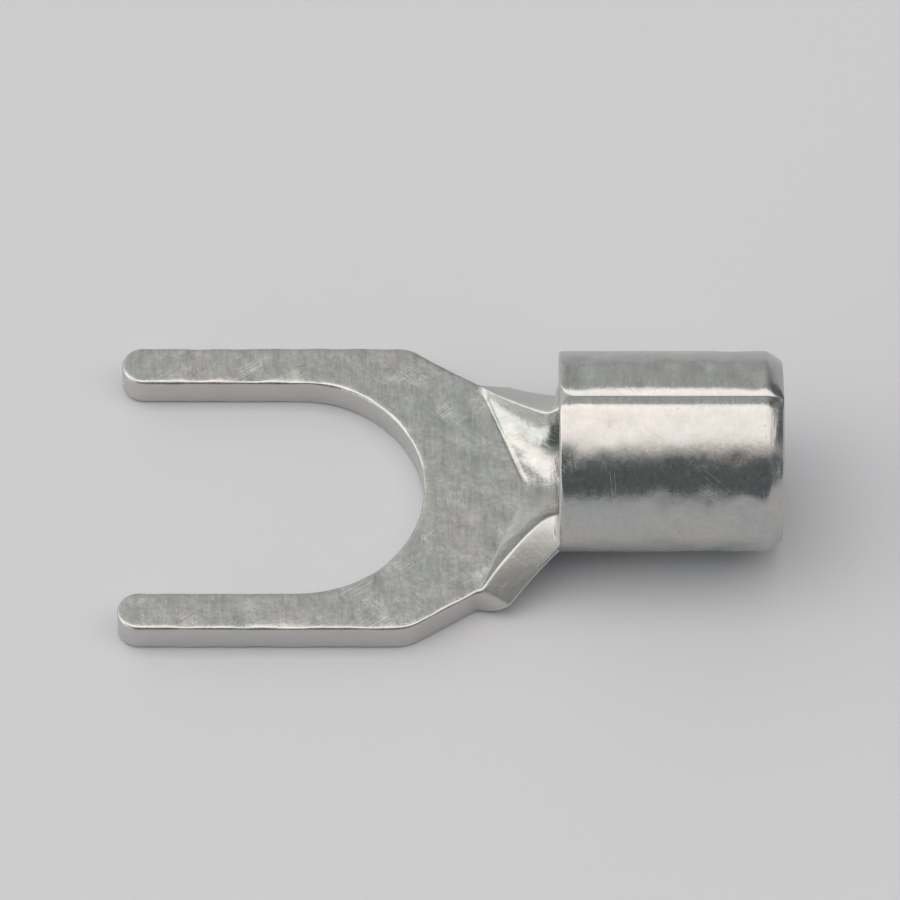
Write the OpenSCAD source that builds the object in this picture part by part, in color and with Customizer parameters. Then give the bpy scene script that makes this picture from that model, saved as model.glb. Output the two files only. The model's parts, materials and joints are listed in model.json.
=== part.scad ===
// Fork terminal: one blank of tin-plated copper sheet, cut to a fork at one end and rolled into
// a wire barrel at the other. X runs from the prong tips to the barrel's mouth and Z is up.
// The origin is the stud's centre, on the tongue's underside.

/* [Sheet] */
// Thickness of the sheet
sheet_t = 1; // [0.8:0.05:1.2]

/* [Fork] */
// Diameter of the stud that the fork slides onto
stud_d = 6; // [5:0.1:7]
// Radial clearance around the stud
stud_clear = 0.5; // [0.2:0.05:0.6]
// Width of each prong
prong_w = 1.2; // [0.9:0.05:2]
// Stud centre to the prong tips
tip_reach = 5; // [3:0.1:8]
// Slot's bottom to the barrel's front edge
web_len = 3.75; // [3.2:0.05:6]
// How far the shoulder's corner lies on the tip side of the slot's bottom
shoulder_lead = 0.45; // [0.2:0.05:1.5]
// Radius of the shoulder's corner
shoulder_r = 1.3; // [0.3:0.1:2]

/* [Neck] */
// Barrel's front edge to the crease, at the sheet's edges
neck_side = 2.2; // [1.8:0.1:2.6]
// Barrel's front edge to the crease, on the centre line
neck_mid = 1.1; // [0.6:0.1:1.6]
// How much nearer the barrel the crease lies on the underside, the outside of the bend
crease_shift = 0.35; // [0:0.05:0.5]
// Width of the tongue where the crease meets its edges
neck_w = 6.9; // [6:0.1:7.4]
// How far the neck's walls reach up the barrel from its bottom line, in degrees
neck_wrap = 70; // [50:1:80]
// Share of the wall's fall that is held back towards the crease
neck_ease = 0.35; // [0:0.05:0.6]

/* [Barrel] */
// Outer diameter of the barrel, without the seam's ridge
barrel_d = 5.6; // [5:0.1:6.4]
// Length of the barrel
barrel_len = 6.2; // [5:0.1:9]
// Radial depth of the mouth's rounded outer edge
mouth_round = 0.34; // [0.1:0.02:0.44]
// Length of that rounding along the barrel
mouth_round_len = 0.46; // [0.1:0.02:0.7]
// Flat ring left between the mouth's rounded edge and its flare
mouth_land = 0.05; // [0.02:0.01:0.12]
// Depth of the mouth's flare along the barrel
mouth_flare_len = 0.5; // [0.2:0.05:0.8]
// Radius of the front end's edges
front_round = 0.12; // [0.05:0.01:0.2]
// Rings rolled into the bore
ring_count = 3; // [1:1:4]
// Distance from ring to ring
ring_pitch = 1.25; // [0.8:0.05:1.4]
// Width of a ring at the bore's wall
ring_w = 0.5; // [0.4:0.05:0.7]
// Depth of a ring
ring_depth = 0.14; // [0.05:0.01:0.18]

/* [Seam] */
// Turn from the seam to where the barrel is round again, in degrees
seam_flat = 20; // [10:1:26]
// Width of the groove between the two rolled edges
seam_gap = 0.16; // [0.08:0.01:0.3]
// Depth of that groove below the barrel's round
seam_depth = 0.05; // [0.02:0.01:0.15]
// Length of the ridge's run-out at the mouth
seam_run_out = 0.4; // [0.2:0.05:0.8]
// Radius of the two rolled edges' corners, which leave a notch at the barrel's front
corner_r = 0.4; // [0.2:0.05:0.7]

/* [Hidden] */
$fn = 96;

// Sizes that follow from the ones above
slot_w = stud_d + 2 * stud_clear;
slot_r = slot_w / 2;
fork_w = slot_w + 2 * prong_w;
barrel_r = barrel_d / 2;
bore_r = barrel_r - sheet_t;
mouth_flare = sheet_t - mouth_round - mouth_land;
straight_len = barrel_len - front_round - mouth_flare_len;

// Places along X
barrel_x = slot_r + web_len;
mouth_x = barrel_x + barrel_len;
crease_x = barrel_x - neck_side;
shoulder_x = slot_r - shoulder_lead;
// The neck ends in a short flat strip, and the tongue's plate takes over from there
neck_land = (crease_x - shoulder_x) / 5;
plate_x = crease_x - neck_land;

// How the flat blank narrows from the crease to the barrel, on each side
blank_taper = (neck_w / 2 - (barrel_r - sheet_t / 2) * neck_wrap * PI / 180) / neck_side;

// The shoulder's corner: the turn from the flare to the prong's side, and the arc in it
flare_turn = atan2((fork_w - neck_w) / 2, crease_x - shoulder_x);
flare_slope = tan(flare_turn);
plate_w = neck_w + 2 * neck_land * flare_slope;
shoulder_tangent = shoulder_r * tan(flare_turn / 2);

// The seam's flats cut the round by this much, so that they cross it at an angle
seam_bite = 0.01;
ridge_r = barrel_r - seam_bite;
ridge_peak = ridge_r / cos(seam_flat);
// The neck starts this far inside the barrel's wall, and this far clear of its faces
neck_lap = 0.4;
neck_inset = 0.01;
// Cutters reach this far past what they cut
over = 0.5;

// Steps in the neck's mesh, across it and along it, and in a small arc
across = 36;
along = 6;
arc_steps = 8;

// Points of an arc about c, from one angle to another, stretched along its second axis
function arc(c, r, from, to, stretch = 1) = [
    for (i = [0:arc_steps])
        let (a = from + (to - from) * i / arc_steps)
            c + r * [cos(a), stretch * sin(a)]
];

// The same points with Y turned over, in the other order
function mirrored(points) = [
    for (i = [len(points) - 1:-1:0])
        [points[i].x, -points[i].y]
];

// Half of the plate's outline, from the neck to the prong's end
function plate_side() = concat(
    [[plate_x, plate_w / 2]],
    arc([shoulder_x - shoulder_tangent, fork_w / 2 - shoulder_r], shoulder_r, 90 - flare_turn, 90),
    [[prong_w / 2 - tip_reach, fork_w / 2]]
);

// Flat tongue with its prongs, before the slot is cut
module plate() {
    linear_extrude(sheet_t)
        polygon(concat(plate_side(), mirrored(plate_side())));
    for (side = [-1, 1])
        translate([prong_w / 2 - tip_reach, side * (fork_w - prong_w) / 2, 0])
            cylinder(d = prong_w, h = sheet_t);
}

// Slot for the stud, open towards the prong tips
module slot_cut() {
    translate([0, 0, -over])
        cylinder(r = slot_r, h = sheet_t + 2 * over);
    translate([-tip_reach - over, -slot_r, -over])
        cube([tip_reach + over, slot_w, sheet_t + 2 * over]);
}

// Point of the barrel's wall, at a radius and a turn from its bottom line
function wall_point(x, r, turn) = [x, r * sin(turn), barrel_r - r * cos(turn)];

// Neck's start in the barrel's wall, and its end on the crease, for u from -1 to 1 across it
function neck_start(u, r, x) = wall_point(x, r, u * neck_wrap);
function neck_crease(u, z) =
    let (shift = crease_shift * (1 - z / sheet_t))
        [
            barrel_x - neck_mid - (neck_side - neck_mid) * abs(u) + shift,
            u * (neck_w / 2 - blank_taper * shift),
            z
        ];

// Point of one of the neck's faces, for t from 0 at the barrel to 1 at the crease
function neck_point(u, t, r, z) =
    let (
        a = neck_start(u, r, barrel_x),
        b = neck_crease(u, z),
        fall = t * (1 - neck_ease + neck_ease * t)
    )
    [a.x + (b.x - a.x) * t, a.y + (b.y - a.y) * fall, a.z + (b.z - a.z) * fall];

// One face of the neck, row by row from inside the barrel's wall to the plate
function neck_face(r, z) = [
    for (k = [-1:along + 1], i = [0:across])
        let (u = 2 * i / across - 1)
            k < 0 ? neck_start(u, r, barrel_x + neck_lap)
            : k > along ? [plate_x, u * plate_w / 2, z]
            : neck_point(u, k / along, r, z)
];

// Two triangles on the corners a and b of one row and c and d of the next, split so that both
// sides of the neck mirror each other
function split(a, b, c, d, left) = left ? [[a, b, d], [a, d, c]] : [[a, b, c], [b, d, c]];

// Neck that turns the barrel's lower wall into the flat tongue
module neck() {
    row = across + 1;
    rows = along + 3;
    top = row * rows;
    last = (rows - 1) * row;
    faces = concat(
        // Underside and upper side
        [
            for (k = [0:rows - 2], i = [0:across - 1])
                let (a = k * row + i)
                    each split(a, a + 1, a + row, a + row + 1, i < across / 2)
        ],
        [
            for (k = [0:rows - 2], i = [0:across - 1])
                let (a = top + k * row + i)
                    each split(a + 1, a, a + row + 1, a + row, i >= across / 2)
        ],
        // Two cut edges
        [
            for (k = [0:rows - 2])
                let (a = k * row, b = a + across)
                    each [
                        [a, a + row, top + a], [a + row, top + a + row, top + a],
                        [b, top + b, b + row], [b + row, top + b, top + b + row]
                    ]
        ],
        // End in the barrel's wall and end on the plate
        [
            for (i = [0:across - 1])
                let (b = last + i)
                    each [
                        [i, top + i, i + 1], [i + 1, top + i, top + i + 1],
                        [b, b + 1, top + b], [b + 1, top + b + 1, top + b]
                    ]
        ]
    );
    polyhedron(
        concat(neck_face(barrel_r - neck_inset, 0), neck_face(bore_r + neck_inset, sheet_t)),
        faces
    );
}

// Half section of the barrel, as radius and distance from its front edge
function barrel_section() = concat(
    arc([bore_r + front_round, front_round], front_round, 270, 180),
    [
        for (i = [0:ring_count - 1])
            let (middle = front_round + straight_len / 2 + (i - (ring_count - 1) / 2) * ring_pitch)
                each [
                    [bore_r, middle - ring_w / 2],
                    [bore_r + ring_depth, middle - ring_w / 2 + ring_depth],
                    [bore_r + ring_depth, middle + ring_w / 2 - ring_depth],
                    [bore_r, middle + ring_w / 2]
                ]
    ],
    [
        [bore_r, barrel_len - mouth_flare_len],
        [bore_r + mouth_flare, barrel_len]
    ],
    arc([barrel_r - mouth_round, barrel_len - mouth_round_len], mouth_round, 90, 0,
        mouth_round_len / mouth_round),
    arc([barrel_r - front_round, front_round], front_round, 0, -90)
);

// Rolled tube with the rings in its bore and the flare at its mouth
module tube() {
    translate([barrel_x, 0, barrel_r])
        rotate([0, 90, 0])
            rotate_extrude()
                polygon(barrel_section());
}

// Extrudes an outline in Y and Z along X
module along_x(from, to) {
    translate([from, 0, barrel_r])
        rotate([90, 0, 90])
            linear_extrude(to - from)
                children();
}

// Flats that rise to the seam, where the two rolled edges meet
module ridge() {
    root = barrel_r - sheet_t / 2;
    foot = ridge_r * [sin(seam_flat), cos(seam_flat)];
    end_x = mouth_x - mouth_round_len;
    intersection() {
        along_x(barrel_x + front_round, mouth_x)
            polygon([[foot.x, foot.y], [0, ridge_peak], [-foot.x, foot.y], [0, root]]);
        translate([0, barrel_r, barrel_r])
            rotate([90, 0, 0])
                linear_extrude(barrel_d)
                    polygon([
                        [barrel_x, 0],
                        [end_x, 0],
                        [end_x, barrel_r - seam_bite],
                        [end_x - seam_run_out, ridge_peak + seam_bite],
                        [barrel_x, ridge_peak + seam_bite]
                    ]);
    }
}

// Half of the notch's outline, around the corner of one rolled edge
function notch_side() =
    let (edge_y = corner_r + seam_gap / 2)
        concat([[-over, edge_y]], arc([corner_r, edge_y], corner_r, 180, 270));

// Groove along the seam and the notch at its front end
module seam_cut() {
    along_x(barrel_x - over, mouth_x + over)
        polygon([[seam_gap / 2, ridge_peak], [-seam_gap / 2, ridge_peak], [0, barrel_r - seam_depth]]);
    translate([barrel_x, 0, barrel_r])
        linear_extrude(barrel_d)
            polygon(concat(notch_side(), mirrored(notch_side())));
}

module fork_terminal() {
    color([0.74, 0.73, 0.71])
        difference() {
            union() {
                plate();
                neck();
                difference() {
                    union() {
                        tube();
                        ridge();
                    }
                    seam_cut();
                }
            }
            slot_cut();
        }
}

fork_terminal();
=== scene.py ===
"""Looks of the fork terminal. It is made as the real one is: a flat blank of tinned copper sheet,
with rounded edges, is folded into fork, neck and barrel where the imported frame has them."""

import json
import math

import bpy
import numpy as np
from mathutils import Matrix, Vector, noise
from mathutils.geometry import delaunay_2d_cdt


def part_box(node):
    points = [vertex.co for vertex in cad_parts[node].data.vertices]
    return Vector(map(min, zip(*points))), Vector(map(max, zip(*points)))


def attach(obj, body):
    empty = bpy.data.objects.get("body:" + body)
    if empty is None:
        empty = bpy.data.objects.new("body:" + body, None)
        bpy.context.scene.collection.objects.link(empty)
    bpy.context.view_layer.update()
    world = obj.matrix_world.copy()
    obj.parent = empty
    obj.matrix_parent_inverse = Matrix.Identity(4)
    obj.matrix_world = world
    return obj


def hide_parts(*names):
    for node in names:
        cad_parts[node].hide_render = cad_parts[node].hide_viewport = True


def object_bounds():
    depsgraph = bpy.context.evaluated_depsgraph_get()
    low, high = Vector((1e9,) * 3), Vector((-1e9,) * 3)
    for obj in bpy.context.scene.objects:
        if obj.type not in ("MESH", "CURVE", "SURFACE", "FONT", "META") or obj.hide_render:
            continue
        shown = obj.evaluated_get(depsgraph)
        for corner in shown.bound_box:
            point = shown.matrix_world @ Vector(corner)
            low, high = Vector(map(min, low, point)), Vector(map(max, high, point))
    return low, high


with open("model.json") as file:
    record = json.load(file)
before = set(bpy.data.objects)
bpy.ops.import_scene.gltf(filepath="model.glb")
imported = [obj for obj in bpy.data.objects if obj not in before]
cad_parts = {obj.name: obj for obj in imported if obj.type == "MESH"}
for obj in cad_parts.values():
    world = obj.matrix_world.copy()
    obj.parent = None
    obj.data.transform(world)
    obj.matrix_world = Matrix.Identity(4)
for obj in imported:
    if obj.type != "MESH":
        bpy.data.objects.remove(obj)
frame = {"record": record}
cad_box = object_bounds()

MM = 0.001
NODE = "fork_terminal"
SLOT = "tinned_copper"

# Sizes that the frame gives
low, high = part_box(NODE)
bore = next(m for m in frame["record"]["mounts"] if m["name"] == "wire_barrel")
BARREL_R = bore["pos_m"][2]
BORE_R = bore["dims"]["r_mm"] * MM
SHEET = BARREL_R - BORE_R
TIP_X, MOUTH_X, FORK_HALF = low.x, high.x, high.y

# Fork and neck, with the values of the part's source
SLOT_R = 3.5 * MM
WEB_LEN = 3.75 * MM
SHOULDER_LEAD = 0.45 * MM
SHOULDER_R = 1.3 * MM
NECK_SIDE = 2.2 * MM
NECK_HALF = 3.45 * MM
NECK_WRAP = math.radians(70)
NECK_EASE = 0.35

# Barrel and seam, with the values of the part's source
MOUTH_ROUND = 0.34 * MM
MOUTH_ROUND_LEN = 0.46 * MM
MOUTH_LAND = 0.05 * MM
MOUTH_FLARE_LEN = 0.5 * MM
RING_COUNT = 3
RING_PITCH = 1.25 * MM
RING_W = 0.5 * MM
RING_DEPTH = 0.14 * MM
SEAM_FLAT = math.radians(20)
CORNER_R = 0.4 * MM

# Finer shapes that only the looks have
EDGE_R = 0.09 * MM  # rounding of the sheet's cut edges
EDGE_WANDER = 0.6  # share by which that rounding varies along the edge
EDGE_WAVE = 0.7 * MM  # length of that variation
CUT_TAPER = 0.018 * MM  # how far the torn lower part of a cut edge draws back
TORN_SHARE = 0.625  # share of the cut edge's height that is torn
TORN_WANDER = 0.5  # share by which the torn part varies along the edge
TORN_WAVES = 5  # of that variation in one wave of the edge's rounding
SEAM_ROUND = 0.4 * MM  # width of the rounding at each rolled edge
SEAM_DEPTH = 0.2 * MM  # depth of the groove between them
MOUTH_KINK = 0.6  # share of straight bevel in the mouth's rounding
FLARE_REACH = 1.15  # length of the worn flare over its length in the source
FLARE_BEND = 1.25  # power by which the flare steepens towards the mouth
RING_SIDE = 0.6  # share of a ring's half width that its sloping side takes
INNER_CORNER_R = 0.25 * MM  # between the neck's edge and the barrel's front
CREASE_END_R = 1.0 * MM  # where the crease meets the tongue's outline
CREASE_SOFT = 0.035  # share of the neck over which the crease bends, to each side
NECK_MID = 0.9 * MM  # from the barrel to the middle of the crease
# Fine step that the tool left in one side's crease: (way from the crease to the barrel, rise)
# in millimetres, and where it begins and ends, as shares across the neck
CREASE_STEP = [(-0.05, 0), (0, -0.015), (0.12, 0.03), (0.6, 0)]
STEP_START, STEP_RISE = 0.02, 0.12
STEP_END, STEP_FALL = 0.97, 0.3
NECK_SOFT = 0.3  # share of the neck over which the barrel's round lets go
WAVE_DEPTH = 0.013 * MM  # waviness of the faces
WAVE_LEN = 1.3 * MM
THIN_WALL, FULL_WALL = 0.1, 0.35  # shares of the sheet between which wear comes in
DENT_COUNT = 520
DENT_SEED = 11
DENT_R = (0.08 * MM, 0.5 * MM)
DENT_SLOPE = (0.045, 0.085)  # depth of a dent over its radius, on the tongue and on the barrel

# Places in the noise, which keep its uses apart
FACE_NOISE = 3.7
EDGE_NOISE = 8.3
TORN_NOISE = 4.1

# Sizes that follow
BARREL_X = SLOT_R + WEB_LEN
CREASE_X = BARREL_X - NECK_SIDE
MID_R = (BARREL_R + BORE_R) / 2
BARREL_HALF = math.pi * MID_R  # half of the blank's width at the barrel
START_HALF = NECK_WRAP * MID_R  # half of the neck's width at the barrel
MOUTH_FLARE = SHEET - MOUTH_ROUND - MOUTH_LAND
RING_MIDDLE = (BARREL_X + MOUTH_X - MOUTH_FLARE_LEN) / 2
CREASE_LEAN = math.atan2(NECK_SIDE - NECK_MID, NECK_HALF)

# Spacing of the blank's points
SLOPE_STEP = 0.01 * MM
EDGE_STEP = 0.1 * MM
TOUCH = EDGE_STEP / 100  # places that are closer than this are one
ARC_STEP = 0.045 * MM
ARC_TURN = math.radians(7)
FACE_STEP = 0.13 * MM
ROUND_STEPS = 5
BAND = (0.2 * MM, 0.27 * MM)  # loops inside the rounded edge
LOOP_GAP = 0.07 * MM
CORNER_REACH = 2.5  # widths of the band over which the loops draw together at a sharp corner
CORNER_ROOM = 0.15  # share of their width that is left there
WALL_ROWS = (0.3, 0.55, 0.8)  # rows on a cut edge, as shares of its height
CUT_FADE = (0.7, 0.3)  # share of a cut edge's look on the first loops inside it
MOUTH_ROWS = (1.15, 1.0, 0.82, 0.65)  # shares of the length of the mouth's rounding
RING_ROWS = (0, 0.22, 0.44, 0.6, 0.8, 1.0)  # shares of a ring's half width
NECK_COLUMNS = 53
NECK_ROWS = (0.06, 0.12, 0.19, 0.26, 0.34, 0.42, 0.5, 0.58, 0.66, 0.74, 0.81, 0.87)
NECK_CLEAR = 0.28 * MM  # from the crease to the nearest of these rows
TONGUE_CLEAR = 0.15 * MM  # from the crease to the tongue's points
# Rows along the crease, in millimetres from it towards the barrel
CREASE_ROWS = (-0.09, -0.05, -0.025, 0, 0.03, 0.06, 0.09, 0.12, 0.16, 0.22)
FALL_STEPS = 400
PLACE_ROUNDS = 10  # of the search for a point's place in the neck
TESTED_AT_ONCE = 400  # points, to limit the memory
INSIDE_FACES = 1  # what the triangulation keeps: the faces inside the ring
SAME_POINT = 1e-7  # millimetres

# Layout of the texture places: upper face, under face, then the cut edges in strips
UV_SPAN = 40 * MM
UV_MARGIN = 0.3 * MM
UV_STRIP = 2 * BARREL_HALF + 2 * UV_MARGIN
UV_RUN = 38 * MM


def smooth(t):
    """Rises from 0 to 1 with no kink at its ends."""
    t = np.clip(t, 0, 1)
    return t * t * (3 - 2 * t)


def quarter(t):
    """Fall of a quarter round: 1 at t 0, where it is steep, and 0 from t 1 on."""
    return 1 - np.sqrt(1 - (1 - np.clip(t, 0, 1)) ** 2)


# Share of the neck's fall that is done, from 0 at the barrel to 1 past the crease
fall_at = np.linspace(0, 1 + CREASE_SOFT, FALL_STEPS)
fall_slope = (1 - NECK_EASE + 2 * NECK_EASE * fall_at) * smooth(fall_at / NECK_SOFT)
fall_slope *= smooth((1 + CREASE_SOFT - fall_at) / (2 * CREASE_SOFT))
fall_done = np.cumsum(fall_slope) / fall_slope.sum()


def neck_place(x, w):
    """Share across the neck, 1 at its edge, and share along it from the barrel to the crease."""
    across = np.abs(w) / START_HALF
    for _ in range(PLACE_ROUNDS):
        along = np.maximum(BARREL_X - x, 0) / (NECK_MID + (NECK_SIDE - NECK_MID) * across)
        across = np.abs(w) / (START_HALF + (NECK_HALF - START_HALF) * along)
    return np.sign(w) * across, along


def crease_way(x, w):
    """Share across the neck, and the way from the crease, square to it, towards the barrel."""
    across, along = neck_place(x, w)
    length = NECK_MID + (NECK_SIDE - NECK_MID) * np.abs(across)
    return across, (1 - along) * length * math.cos(CREASE_LEAN)


def upper_face(x, w):
    """Folded places of the upper face of tongue and neck."""
    across, along = neck_place(x, w)
    start_y = BORE_R * np.sin(across * NECK_WRAP)
    start_z = BARREL_R - BORE_R * np.cos(across * NECK_WRAP)
    end_y = np.where(along < 1, across * NECK_HALF, w)
    done = np.interp(along, fall_at, fall_done)
    return np.stack([x, start_y + (end_y - start_y) * done, start_z + (SHEET - start_z) * done], 1)


def fold(x, w, h):
    """Folded places of the blank's points: x along it, w across it, h up through the sheet."""
    turn = w / MID_R
    beside_seam = np.maximum(SEAM_FLAT - (np.pi - np.abs(turn)), 0)
    r = BARREL_R / np.cos(beside_seam) - h
    rolled = np.stack([x, r * np.sin(turn), BARREL_R - r * np.cos(turn)], 1)
    # Tongue and neck keep their thickness square to the upper face
    ahead = upper_face(x + SLOPE_STEP, w) - upper_face(x - SLOPE_STEP, w)
    beside = upper_face(x, w + SLOPE_STEP) - upper_face(x, w - SLOPE_STEP)
    up = np.cross(ahead, beside)
    up /= np.linalg.norm(up, axis=1)[:, None]
    formed = upper_face(x, w) - (SHEET - h)[:, None] * up
    return np.where((x >= BARREL_X)[:, None], rolled, formed)


def rounded_path(corners):
    """Points along (x, w, radius) corners, each rounded by its radius, about EDGE_STEP apart."""
    places = [np.array(c[:2]) for c in corners]
    path = [places[0]]
    for i in range(1, len(corners)):
        end = [places[i]]
        if i < len(corners) - 1 and corners[i][2] > 0:
            back = places[i - 1] - places[i]
            on = places[i + 1] - places[i]
            back, on = back / np.linalg.norm(back), on / np.linalg.norm(on)
            half = math.acos(np.clip(back @ on, -1, 1)) / 2
            radius = corners[i][2]
            middle = back + on
            centre = places[i] + middle / np.linalg.norm(middle) * radius / math.sin(half)
            start = places[i] + back * radius / math.tan(half) - centre
            sweep = math.pi - 2 * half
            steps = math.ceil(max(sweep / ARC_TURN, sweep * radius / ARC_STEP))
            turns = np.linspace(0, sweep, steps + 1)
            end = [centre + start * math.cos(a) - back * radius * math.sin(a) for a in turns]
        run = end[0] - path[-1]
        steps = round(np.linalg.norm(run) / EDGE_STEP)
        last = path[-1]
        path += [last + run * k / steps for k in range(1, steps)]
        path += [p for p in end if np.linalg.norm(p - path[-1]) > TOUCH]
    return np.array(path)


def blank_outline():
    """The blank's outline, anticlockwise, and for each of its points the one across the seam."""
    side = rounded_path([
        (SLOT_R, 0, 0),
        (SLOT_R, SLOT_R, SLOT_R),
        (TIP_X, SLOT_R, (FORK_HALF - SLOT_R) / 2),
        (TIP_X, FORK_HALF, (FORK_HALF - SLOT_R) / 2),
        (SLOT_R - SHOULDER_LEAD, FORK_HALF, SHOULDER_R),
        (CREASE_X, NECK_HALF, CREASE_END_R),
        (BARREL_X, START_HALF, INNER_CORNER_R),
        (BARREL_X, BARREL_HALF, CORNER_R),
        (MOUTH_X, BARREL_HALF, 0),
        (MOUTH_X, 0, 0),
    ])
    outline = np.concatenate([side[::-1], side[1:-1] * [1, -1]])
    across = (2 * (len(side) - 1) - np.arange(len(outline))) % len(outline)
    return outline, across


def inset_directions(outline):
    """For each point of the outline, the step that moves it in by one unit."""
    ahead = np.roll(outline, -1, 0) - outline
    ahead /= np.linalg.norm(ahead, axis=1)[:, None]
    inward = np.stack([-ahead[:, 1], ahead[:, 0]], 1)
    both = inward + np.roll(inward, 1, 0)
    return 2 * both / (both**2).sum(1)[:, None]


def inside(points, ring, gap):
    """Those of the points that lie in the ring and at least gap from it."""
    after = np.roll(ring, -1, 0)
    step = after - ring
    kept = []
    for some in np.array_split(points, 1 + len(points) // TESTED_AT_ONCE):
        from_start = some[:, None] - ring
        share = np.clip((from_start * step).sum(2) / (step**2).sum(1), 0, 1)
        away = np.linalg.norm(from_start - share[:, :, None] * step, axis=2).min(1)
        level = some[:, 1, None]
        crossed = (ring[:, 1] > level) != (after[:, 1] > level)
        rise = np.where(step[:, 1] == 0, 1, step[:, 1])
        right = some[:, 0, None] < ring[:, 0] + (level - ring[:, 1]) * step[:, 0] / rise
        kept.append(some[((crossed & right).sum(1) % 2 == 1) & (away > gap)])
    return np.concatenate(kept)


def grid(xs, ws, shift=0.0):
    """Every pair of the two lists, with every other row moved by a shift."""
    return np.array([(x, w + shift * (i % 2)) for i, x in enumerate(xs) for w in ws])


def face_points():
    """Points for the faces of the blank, denser where it bends."""
    ring_rows = np.array(RING_ROWS) * RING_W / 2
    rows = [MOUTH_X - MOUTH_ROUND_LEN * s for s in MOUTH_ROWS]
    for i in range(RING_COUNT):
        middle = RING_MIDDLE + (i - (RING_COUNT - 1) / 2) * RING_PITCH
        rows += [middle + s * r for s in (-1, 1) for r in ring_rows]
    for x in np.arange(BARREL_X, MOUTH_X - MOUTH_ROUND_LEN, FACE_STEP):
        if min(abs(x - r) for r in rows) > FACE_STEP / 2:
            rows.append(x)
    columns = np.arange(-BARREL_HALF, BARREL_HALF, FACE_STEP)
    barrel = grid(sorted(set(rows)), columns)
    neck = []
    for across in np.linspace(-1, 1, NECK_COLUMNS):
        length = NECK_MID + (NECK_SIDE - NECK_MID) * abs(across)
        for along in NECK_ROWS:
            half = START_HALF + (NECK_HALF - START_HALF) * along
            if (1 - along) * length * math.cos(CREASE_LEAN) > NECK_CLEAR:
                neck.append((BARREL_X - along * length, across * half))
        for row in CREASE_ROWS:
            way = row * MM
            x = BARREL_X - length + way * math.cos(CREASE_LEAN)
            w = across * NECK_HALF + np.sign(across) * way * math.sin(CREASE_LEAN)
            neck.append((x, w))
    xs = np.arange(TIP_X, BARREL_X, FACE_STEP)
    ws = np.arange(-FORK_HALF, FORK_HALF, FACE_STEP)
    tongue = grid(xs, ws, FACE_STEP / 2)
    past_crease = crease_way(tongue[:, 0], tongue[:, 1])[1] < -TONGUE_CLEAR
    return np.concatenate([barrel, np.array(neck), tongue[past_crease]])


def seam_groove(x, w):
    """Depth of the groove along the seam, which fades round the corners at the barrel's front."""
    from_seam = BARREL_HALF - np.abs(w)
    ahead, beside = CORNER_R - (x - BARREL_X), CORNER_R - from_seam
    in_corner = (ahead > 0) & (beside > 0)
    reach = np.where(in_corner, np.hypot(ahead, beside), 1)
    away = np.where(in_corner, CORNER_R - reach, from_seam)
    fade = np.where(in_corner, beside / reach, 1)
    return SEAM_DEPTH * (fade * np.clip(1 - away / SEAM_ROUND, 0, 1)) ** 2


def wear(x, w, side):
    """How far waviness and dents take a face in, for the side 0 or 1 of the sheet."""
    lift = FACE_NOISE * side
    places = zip(x / WAVE_LEN, w / WAVE_LEN)
    taken = np.array([0.5 - 0.5 * noise.noise((a, b, lift)) for a, b in places]) * WAVE_DEPTH
    random = np.random.RandomState(DENT_SEED + side)
    centres = random.uniform((TIP_X, -BARREL_HALF), (MOUTH_X, BARREL_HALF), (DENT_COUNT, 2))
    radii = DENT_R[0] * (DENT_R[1] / DENT_R[0]) ** random.uniform(0, 1, DENT_COUNT)
    depths = radii * np.where(centres[:, 0] < BARREL_X, *DENT_SLOPE)
    for (cx, cw), r, depth in zip(centres, radii, depths):
        taken += depth * np.exp(-2 * ((x - cx) ** 2 + (w - cw) ** 2) / r**2)
    return taken


def heights(x, w, depth, edge_r):
    """Heights in the sheet of its under or outer face and of its upper or inner face."""
    edge = edge_r * quarter(depth / np.maximum(edge_r, TOUCH))
    from_mouth = MOUTH_X - x
    bevel = np.clip(1 - from_mouth / MOUTH_ROUND_LEN, 0, 1)
    rounding = MOUTH_KINK * bevel + (1 - MOUTH_KINK) * quarter(from_mouth / MOUTH_ROUND_LEN)
    outer = np.maximum(edge, MOUTH_ROUND * rounding)
    outer = np.maximum(outer, seam_groove(x, w) * (1 - rounding) + MOUTH_ROUND * rounding)
    flare = np.clip(1 - from_mouth / (FLARE_REACH * MOUTH_FLARE_LEN), 0, 1) ** FLARE_BEND
    inner = np.maximum(edge, MOUTH_FLARE * flare)
    for i in range(RING_COUNT):
        away = np.abs(x - RING_MIDDLE - (i - (RING_COUNT - 1) / 2) * RING_PITCH)
        sunk = smooth((RING_W / 2 - away) / (RING_SIDE * RING_W / 2))
        inner = np.maximum(inner, RING_DEPTH * sunk)
    across, way = crease_way(x, w)
    step = np.interp(way / MM, *np.array(CREASE_STEP).T) * MM
    step *= smooth((across - STEP_START) / STEP_RISE)
    step *= smooth((STEP_END - across) / STEP_FALL)
    inner = SHEET - inner + step
    open_wall = smooth(((inner - outer) / SHEET - THIN_WALL) / (FULL_WALL - THIN_WALL))
    return outer + wear(x, w, 0) * open_wall, inner - wear(x, w, 1) * open_wall


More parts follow.
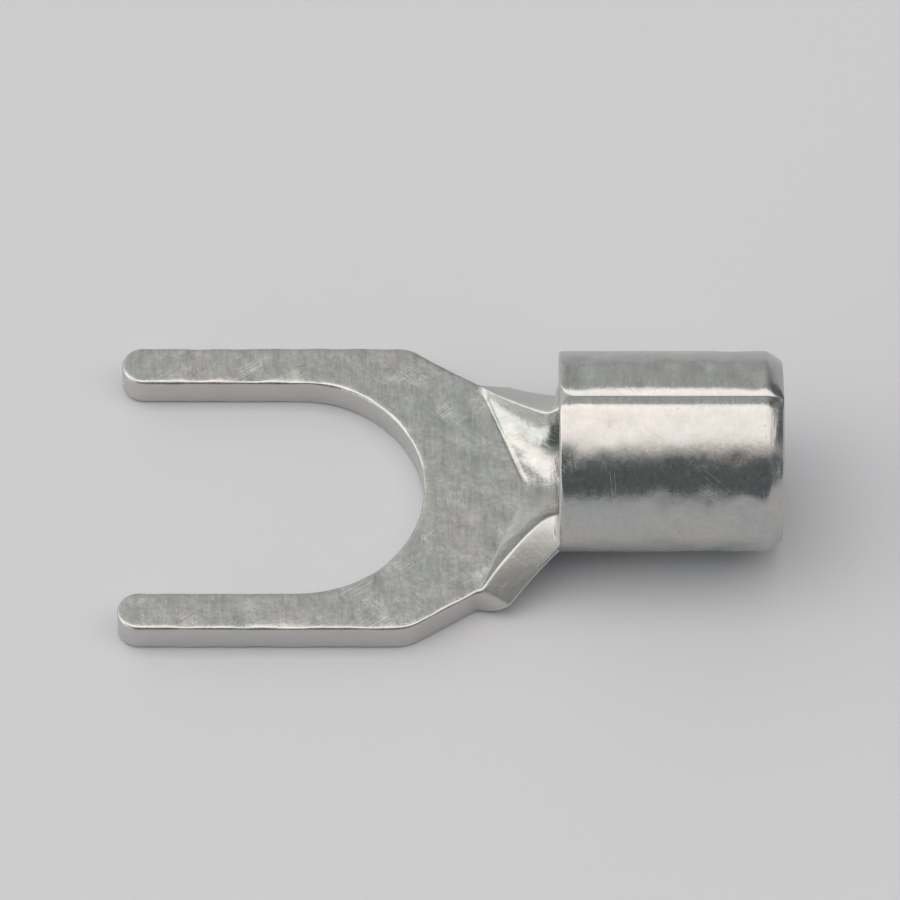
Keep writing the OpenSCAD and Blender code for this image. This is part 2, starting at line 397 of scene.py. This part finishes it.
def blank_mesh():
    """The folded terminal's vertices, faces, texture places and share of cut edge."""
    outline, across_seam = blank_outline()
    count = len(outline)
    inward = inset_directions(outline)
    run = np.concatenate([[0], np.cumsum(np.linalg.norm(np.diff(outline, axis=0), axis=1))])
    at_mouth = outline[:, 0] > MOUTH_X - TOUCH
    at_seam = np.abs(outline[:, 1]) > BARREL_HALF - TOUCH
    wander = np.array([noise.noise((a / EDGE_WAVE, 0, EDGE_NOISE)) for a in run])
    edge_r = EDGE_R * (1 + EDGE_WANDER * wander) * ~(at_mouth & ~at_seam)
    # The seam's two sides keep one rounding, so that they meet
    edge_r[at_seam] = EDGE_R
    scale = np.where(edge_r > 0, edge_r, EDGE_R)

    # The loops draw together at the sharp corners of the mouth
    from_corner = np.hypot(outline[:, 0] - MOUTH_X, np.abs(outline[:, 1]) - BARREL_HALF)
    room = np.clip(from_corner / (CORNER_REACH * BAND[-1]), CORNER_ROOM, 1)
    turns = np.linspace(0, math.pi / 2, ROUND_STEPS + 1)
    insets = [room * scale * (1 - math.cos(a)) for a in turns] + [room * b for b in BAND]
    loops = [outline + inward * d[:, None] for d in insets]
    ring = loops[-1]
    wanted = np.concatenate([ring, inside(face_points(), ring, LOOP_GAP)])
    border = [list(range(count))]
    made = delaunay_2d_cdt(
        [Vector(p) for p in wanted / MM], [], border, INSIDE_FACES, SAME_POINT
    )
    flat = np.array([tuple(p) for p in made[0]]) * MM
    origin = {o: i for i, found in enumerate(made[3]) for o in found}
    on_ring = np.array([origin[i] for i in range(count)])
    flat[on_ring] = ring

    places = np.concatenate(loops[:-1] + [flat])
    loop_ids = [np.arange(count) + k * count for k in range(len(loops) - 1)]
    base = count * (len(loops) - 1)
    loop_ids.append(base + on_ring)
    depth = np.full(len(places), 1.0)
    radius = np.zeros(len(places))
    for ids, d in zip(loop_ids, insets):
        depth[ids], radius[ids] = d, edge_r
    x, w = places.T
    outer, inner = heights(x, w, depth, radius)
    closed = loop_ids[0][at_seam]
    pair = loop_ids[0][across_seam[at_seam]]
    for face in (outer, inner):
        face[closed] = (face[closed] + face[pair]) / 2

    size = len(places)
    torn = np.array([noise.noise((a / EDGE_WAVE * TORN_WAVES, TORN_NOISE, 0)) for a in run])
    taper = CUT_TAPER * ~(at_mouth | at_seam)
    walls = [loop_ids[0]]
    verts = [fold(x, w, outer), fold(x, w, inner)]
    total = 2 * size
    for row in WALL_ROWS:
        drawn = taper * (1 - smooth(row / TORN_SHARE)) * (1 + TORN_WANDER * torn)
        edge = outline + inward * drawn[:, None]
        low_h, high_h = outer[:count], inner[:count]
        verts.append(fold(edge[:, 0], edge[:, 1], low_h + (high_h - low_h) * row))
        walls.append(total + np.arange(count))
        total += count
    walls.append(size + loop_ids[0])
    verts = np.concatenate(verts)

    faces, uvs = [], []

    def add(face, corners):
        faces.append(face)
        uvs.extend(corners)

    def sheet_uv(i, side):
        return (
            (x[i] - TIP_X + UV_MARGIN) / UV_SPAN,
            (w[i] + BARREL_HALF + UV_MARGIN + side * UV_STRIP) / UV_SPAN,
        )

    after = np.roll(np.arange(count), -1)
    strips = [
        (a[i], a[after[i]], b[after[i]], b[i])
        for a, b in zip(loop_ids, loop_ids[1:])
        for i in range(count)
    ]
    for f in strips + [tuple(base + i for i in t) for t in made[2]]:
        add([size + i for i in f], [sheet_uv(i, 0) for i in f])
        add(list(reversed(f)), [sheet_uv(i, 1) for i in reversed(f)])
    for lower, upper, low_row, high_row in zip(
        walls, walls[1:], (0, *WALL_ROWS), (*WALL_ROWS, 1)
    ):
        for i in range(count):
            j = after[i]
            if at_seam[i] and at_seam[j]:
                continue
            strip, start = divmod(run[i], UV_RUN)
            step = np.linalg.norm(outline[j] - outline[i])
            v = 2 * UV_STRIP + UV_MARGIN + strip * 2 * SHEET
            corners = [
                ((UV_MARGIN + start + s) / UV_SPAN, (v + r * SHEET) / UV_SPAN)
                for s, r in ((0, low_row), (step, low_row), (step, high_row), (0, high_row))
            ]
            add([lower[i], lower[j], upper[j], upper[i]], corners)

    # The two sides of the seam become one
    weld = np.arange(len(verts))
    left = at_seam & (outline[:, 1] < 0)
    for row in walls:
        weld[row[left]] = row[across_seam[left]]
    used, packed = np.unique(weld[np.concatenate(faces)], return_inverse=True)
    lengths = np.cumsum([len(f) for f in faces])[:-1]
    cut = np.zeros(len(verts))
    for row in walls:
        cut[row] = 1
    for side in (0, size):
        for ids, share in zip(loop_ids[1:], CUT_FADE):
            cut[side + ids] = share
    cut[np.concatenate([row[at_mouth | at_seam] for row in walls])] = 0
    return verts[used], np.split(packed, lengths), np.array(uvs), cut[used]


def make_terminal():
    verts, faces, uvs, cut = blank_mesh()
    mesh = bpy.data.meshes.new("tinned_terminal")
    mesh.from_pydata([tuple(v) for v in verts], [], [list(f) for f in faces])
    layer = mesh.uv_layers.new(name="Blank")
    layer.uv.foreach_set("vector", uvs.astype(np.float32).ravel())
    attribute = mesh.attributes.new("cut", "FLOAT", "POINT")
    attribute.data.foreach_set("value", cut.astype(np.float32))
    mesh.shade_smooth()
    piece = bpy.data.objects.new("tinned_terminal", mesh)
    bpy.context.scene.collection.objects.link(piece)
    return piece


class Nodes:
    """Builds a node tree: each call adds a node, and an input is a value or another socket."""

    def __init__(self, tree):
        self.tree = tree
        tree.nodes.clear()

    def __call__(self, kind, inputs=None, out=0, **settings):
        node = self.tree.nodes.new(kind)
        for name, value in settings.items():
            setattr(node, name, value)
        for name, value in (inputs or {}).items():
            if isinstance(value, bpy.types.NodeSocket):
                self.tree.links.new(value, node.inputs[name])
            else:
                node.inputs[name].default_value = value
        return node.outputs[out] if node.outputs else node

    def math(self, operation, *values):
        return self("ShaderNodeMath", dict(enumerate(values)), operation=operation)

    def noise(self, place, scale, detail, roughness):
        inputs = {"Vector": place, "Scale": scale, "Detail": detail, "Roughness": roughness}
        return self("ShaderNodeTexNoise", inputs)

    def drawn(self, place, scale, detail, roughness, turn=0.0):
        """Noise with a scale of its own on each axis."""
        return self.noise(self.stretched(place, scale, turn), 1.0, detail, roughness)

    def ramp(self, value, low_in, high_in, low_out=0.0, high_out=1.0):
        inputs = {0: value, 1: low_in, 2: high_in, 3: low_out, 4: high_out}
        return self("ShaderNodeMapRange", inputs, clamp=True)

    def stretched(self, place, scale, turn=0.0):
        turned = self("ShaderNodeMapping", {"Vector": place, "Rotation": (0, 0, turn)})
        return self("ShaderNodeMapping", {"Vector": turned, "Scale": scale})

    def mix(self, share, first, second):
        inputs = {0: share, 6: first, 7: second}
        return self("ShaderNodeMix", inputs, out=2, data_type="RGBA")

    def multiply(self, first, second):
        inputs = {0: 1.0, 6: first, 7: second}
        return self("ShaderNodeMix", inputs, out=2, data_type="RGBA", blend_type="MULTIPLY")

    def bump(self, height, distance, normal=None):
        inputs = {"Height": height, "Distance": distance, "Strength": 1.0}
        if normal:
            inputs["Normal"] = normal
        return self("ShaderNodeBump", inputs)


# Tin plate. Each noise is its waves per millimetre of the blank, its detail and its roughness
CLOUDS = (0.55, 3.0, 0.5)
BLOTCHES = (2.3, 2.0, 0.5)
MOTTLE = (7.0, 3.0, 0.6)
GRAIN = (17.0, 3.0, 0.65)
SCUFF_PATCHES = (1.1, 2.0, 0.5)
# Drawn-out noise has its waves along and across the blank
LINES = ((26.0, 1.1, 1.0), 3.0, 0.6)
STREAKS = ((4.5, 1.1, 1.0), 2.0, 0.5)
STROKES = ((0.22, 5.5, 1.0), 1.0, 0.3)
# Spans of the noise over which each look changes
CLOUD_SPAN = (0.35, 0.65)
BLOTCH_SPAN = (-0.15, 0.15)
SHADE_SPAN = (0.3, 0.7)
ROUGH_SPAN = (0.25, 0.75)
PATCH_SPAN = (0.57, 0.64)
STROKE_SPAN = (0, 0.012)
BLOTCH_FADE = (-1.2, 0.3)  # millimetres past the barrel's front
BLOTCH_LEFT = 0.3  # share of the blotches on the barrel, which rolling made smooth
PIT_CELLS = 3.4  # per millimetre
PIT_FREE = 0.72  # share of the cells that have no pit
PIT_SPAN = (0.05, 0.16)  # a pit's edge, in cells from its middle
SCUFFS = ((0.7, 1.0), (-0.6, 5.0), (1.7, 9.0))  # direction, and place in the noise
# Colours
WARM_TIN = (0.583, 0.571, 0.554, 1)
COOL_TIN = (0.525, 0.546, 0.529, 1)
MOTTLE_SHADE = ((0.88, 0.88, 0.88, 1), (1, 1, 1, 1))
BLOTCH_SHADE = ((0.92, 0.92, 0.92, 1), (1.08, 1.08, 1.08, 1))
PIT_COLOUR, PIT_SHARE = (0.28, 0.27, 0.255, 1), 0.35
CUT_COLOUR, CUT_SHARE = (0.68, 0.67, 0.645, 1), 0.6
# Roughness, and what scuffs and cut edges add to it
ROUGHNESS = (0.19, 0.29)
SCUFF_ROUGH = 0.1
CUT_ROUGH = 0.2
# Heights of the relief
STREAK_H = 0.015 * MM
BLOTCH_H = 0.006 * MM
MOTTLE_H = 0.0033 * MM
LINE_H = 0.0010 * MM
GRAIN_H = 0.0015 * MM
PIT_H = 0.0016 * MM


def tinned_copper():
    """Satin tin plate on copper: fine grain across the strip, pits, scuffs and torn cut edges."""
    material = bpy.data.materials.new(SLOT)
    material.use_nodes = True
    n = Nodes(material.node_tree)
    uv = n("ShaderNodeUVMap", uv_map="Blank")
    place = n.stretched(uv, (UV_SPAN / MM,) * 3)  # millimetres on the blank
    cut = n("ShaderNodeAttribute", attribute_name="cut", out=2)

    clouds = n.noise(place, *CLOUDS)
    along = n("ShaderNodeSeparateXYZ", {0: place})
    barrel_at = (BARREL_X - TIP_X + UV_MARGIN) / MM
    fork = n.ramp(along, *(barrel_at + f for f in BLOTCH_FADE), 1.0, BLOTCH_LEFT)
    blotches = n.math("SUBTRACT", n.noise(place, *BLOTCHES), 0.5)
    blotches = n.math("MULTIPLY", blotches, fork)
    mottle = n.noise(place, *MOTTLE)
    grain = n.noise(place, *GRAIN)
    lines = n.drawn(place, *LINES)
    streaks = n.drawn(place, *STREAKS)

    cells = n.tree.nodes.new("ShaderNodeTexVoronoi")
    cells.inputs["Scale"].default_value = PIT_CELLS
    n.tree.links.new(place, cells.inputs["Vector"])
    cell_value = n("ShaderNodeSeparateColor", {0: cells.outputs[1]})
    chosen = n.math("GREATER_THAN", cell_value, PIT_FREE)
    pits = n.math("MULTIPLY", n.ramp(cells.outputs[0], *PIT_SPAN, 1.0, 0.0), chosen)

    scuffs = []
    for turn, seed in SCUFFS:
        strokes = n.math("SUBTRACT", n.drawn(place, *STROKES, turn), 0.5)
        strokes = n.ramp(n.math("ABSOLUTE", strokes), *STROKE_SPAN, 1, 0)
        shifted = n("ShaderNodeMapping", {"Vector": place, "Location": (seed, seed, seed)})
        patches = n.ramp(n.noise(shifted, *SCUFF_PATCHES), *PATCH_SPAN)
        scuffs.append(n.math("MULTIPLY", strokes, patches))
    scuff = n.math("MAXIMUM", n.math("MAXIMUM", *scuffs[:2]), scuffs[2])

    tint = n.mix(n.ramp(clouds, *CLOUD_SPAN), WARM_TIN, COOL_TIN)
    shade = n.mix(n.ramp(mottle, *SHADE_SPAN), *MOTTLE_SHADE)
    blotch = n.mix(n.ramp(blotches, *BLOTCH_SPAN), *BLOTCH_SHADE)
    worn = n.multiply(n.multiply(tint, shade), blotch)
    worn = n.mix(n.math("MULTIPLY", pits, PIT_SHARE), worn, PIT_COLOUR)
    worn = n.mix(n.math("MULTIPLY", cut, CUT_SHARE), worn, CUT_COLOUR)

    rough = n.ramp(mottle, *ROUGH_SPAN, *ROUGHNESS)
    rough = n.math("ADD", rough, n.math("MULTIPLY", scuff, SCUFF_ROUGH))
    rough = n.math("ADD", rough, n.math("MULTIPLY", cut, CUT_ROUGH))

    normal = n.bump(streaks, STREAK_H)
    normal = n.bump(blotches, BLOTCH_H, normal)
    normal = n.bump(mottle, MOTTLE_H, normal)
    normal = n.bump(lines, LINE_H, normal)
    normal = n.bump(grain, GRAIN_H, normal)
    normal = n.bump(n.math("SUBTRACT", 0.0, n.math("ADD", pits, scuff)), PIT_H, normal)

    surface = n(
        "ShaderNodeBsdfPrincipled",
        {"Base Color": worn, "Metallic": 1.0, "Roughness": rough, "Normal": normal},
    )
    n("ShaderNodeOutputMaterial", {"Surface": surface})
    return material


def plain(name, colour, roughness):
    material = bpy.data.materials.new(name)
    material.use_nodes = True
    n = Nodes(material.node_tree)
    surface = n("ShaderNodeBsdfPrincipled", {"Base Color": (*colour, 1), "Roughness": roughness})
    n("ShaderNodeOutputMaterial", {"Surface": surface})
    return material


# Floor, flat and wide, whose far edge rises a little and so stands behind every view
FLOOR_R = 0.9
FLOOR_EDGE = 0.12
FLOOR_RISE = 0.055
FLOOR_RINGS = (0.06, 0.25, 0.5)
FLOOR_EDGE_STEPS = 9
FLOOR_SIDES = 96
FLOOR_COLOUR = (0.63, 0.65, 0.685)
FLOOR_ROUGHNESS = 0.6


def make_floor():
    edge = FLOOR_R + FLOOR_EDGE * np.linspace(0, 1, FLOOR_EDGE_STEPS)
    radii = np.concatenate([FLOOR_RINGS, edge])
    lifts = FLOOR_RISE * np.clip((radii - FLOOR_R) / FLOOR_EDGE, 0, 1) ** 2
    turns = np.linspace(0, 2 * math.pi, FLOOR_SIDES + 1)[:-1]
    verts = [(0, 0, 0)]
    verts += [(r * math.cos(a), r * math.sin(a), z) for r, z in zip(radii, lifts) for a in turns]
    after = [(i + 1) % FLOOR_SIDES for i in range(FLOOR_SIDES)]
    faces = [(0, 1 + i, 1 + j) for i, j in enumerate(after)]
    for k in range(len(radii) - 1):
        a, b = 1 + k * FLOOR_SIDES, 1 + (k + 1) * FLOOR_SIDES
        faces += [(a + i, b + i, b + j, a + j) for i, j in enumerate(after)]
    mesh = bpy.data.meshes.new("floor")
    mesh.from_pydata(verts, [], faces)
    mesh.shade_smooth()
    mesh.materials.append(plain("floor", FLOOR_COLOUR, FLOOR_ROUGHNESS))
    floor = bpy.data.objects.new("floor", mesh)
    bpy.context.scene.collection.objects.link(floor)


# Overhead soft box, as the angles from the vertical that it spans to the front and to the back
BOX_HEIGHT = 0.6
BOX_FRONT = math.radians(24)
BOX_BACK = math.radians(22)
BOX_LENGTH = 1.9
BOX_LEVEL = 1.41
BOX_COLOUR = (1.0, 0.91, 0.87)

# Surroundings, with spans of the direction's X (across), Y (depth) and slopes from the vertical
FRONT_COLOUR = (0.104, 0.117, 0.117, 1)
BACK_COLOUR = (0.790, 0.798, 0.780, 1)
BACK_SPAN = (-0.35, 0.45)
RIGHT_COLOUR = (0.12, 0.132, 0.144, 1)
RIGHT_SPAN = (-0.35, 0.6)
LEFT_COLOUR = (1.62, 1.69, 1.60, 1)  # a low bright side, past the soft box's left end
LEFT_SPAN = (-0.2, -0.65)
LEFT_START = (0.05, -0.1)  # slopes past the box's end
LEFT_DEPTH = (0.65, 0.4)
GLOW_COLOUR = (1.02, 0.96, 0.925, 1)  # in front of the soft box
GLOW_START = (0.02, -0.02)  # slopes past the box's front
GLOW_END = math.radians(44)  # from the vertical
LEAST_HEIGHT = 0.05  # of a direction, for its slope


def make_lights():
    front, back = BOX_HEIGHT * math.tan(BOX_FRONT), BOX_HEIGHT * math.tan(BOX_BACK)
    lamp = bpy.data.lights.new("soft_box", "AREA")
    lamp.shape = "RECTANGLE"
    lamp.size, lamp.size_y = BOX_LENGTH, front + back
    lamp.energy = BOX_LEVEL * math.pi * lamp.size * lamp.size_y
    lamp.color = BOX_COLOUR
    soft_box = bpy.data.objects.new("soft_box", lamp)
    soft_box.location = (0, (back - front) / 2, BOX_HEIGHT)
    bpy.context.scene.collection.objects.link(soft_box)

    world = bpy.data.worlds.new("studio")
    world.use_nodes = True
    n = Nodes(world.node_tree)
    direction = n("ShaderNodeTexCoord", out=0)
    across, depth, height = (n("ShaderNodeSeparateXYZ", {0: direction}, out=i) for i in range(3))
    colour = n.mix(n.ramp(depth, *BACK_SPAN), FRONT_COLOUR, BACK_COLOUR)
    colour = n.mix(n.ramp(across, *RIGHT_SPAN), colour, RIGHT_COLOUR)
    above = n.math("MAXIMUM", height, LEAST_HEIGHT)

    lean = n.math("DIVIDE", across, above)
    box_end = -BOX_LENGTH / 2 / BOX_HEIGHT
    past_end = n.ramp(lean, *(box_end + s for s in LEFT_START))
    left = n.math("MULTIPLY", n.ramp(across, *LEFT_SPAN), past_end)
    left = n.math("MULTIPLY", left, n.ramp(depth, *LEFT_DEPTH))
    colour = n.mix(left, colour, LEFT_COLOUR)

    slant = n.math("DIVIDE", depth, above)
    box_front = -math.tan(BOX_FRONT)
    past_front = n.ramp(slant, *(box_front + s for s in GLOW_START))
    glow = n.math("MULTIPLY", past_front, n.ramp(slant, -math.tan(GLOW_END), box_front))
    colour = n.mix(glow, colour, GLOW_COLOUR)
    n("ShaderNodeOutputWorld", {"Surface": n("ShaderNodeBackground", {"Color": colour})})
    bpy.context.scene.world = world


# Camera, at the photograph's angle to the terminal
VIEW_ELEVATION = math.radians(56.4)
VIEW_DISTANCE = 0.305
VIEW_WIDTH = 25 * MM
VIEW_CLIP = (0.01, 10)
SENSOR = 36.0


def make_camera():
    data = bpy.data.cameras.new("camera")
    data.sensor_width = SENSOR
    data.lens = SENSOR * VIEW_DISTANCE / VIEW_WIDTH
    data.clip_start, data.clip_end = VIEW_CLIP
    camera = bpy.data.objects.new("camera", data)
    back = Vector((0, -math.cos(VIEW_ELEVATION), math.sin(VIEW_ELEVATION)))
    camera.location = (cad_box[0] + cad_box[1]) / 2 + back * VIEW_DISTANCE
    camera.rotation_euler = (-back).to_track_quat("-Z", "Y").to_euler()
    bpy.context.scene.collection.objects.link(camera)
    bpy.context.scene.camera = camera


terminal = make_terminal()
terminal.data.materials.append(tinned_copper())
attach(terminal, "root")
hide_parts(NODE)
make_floor()
make_lights()
make_camera()
bpy.context.scene.view_settings.view_transform = "Standard"
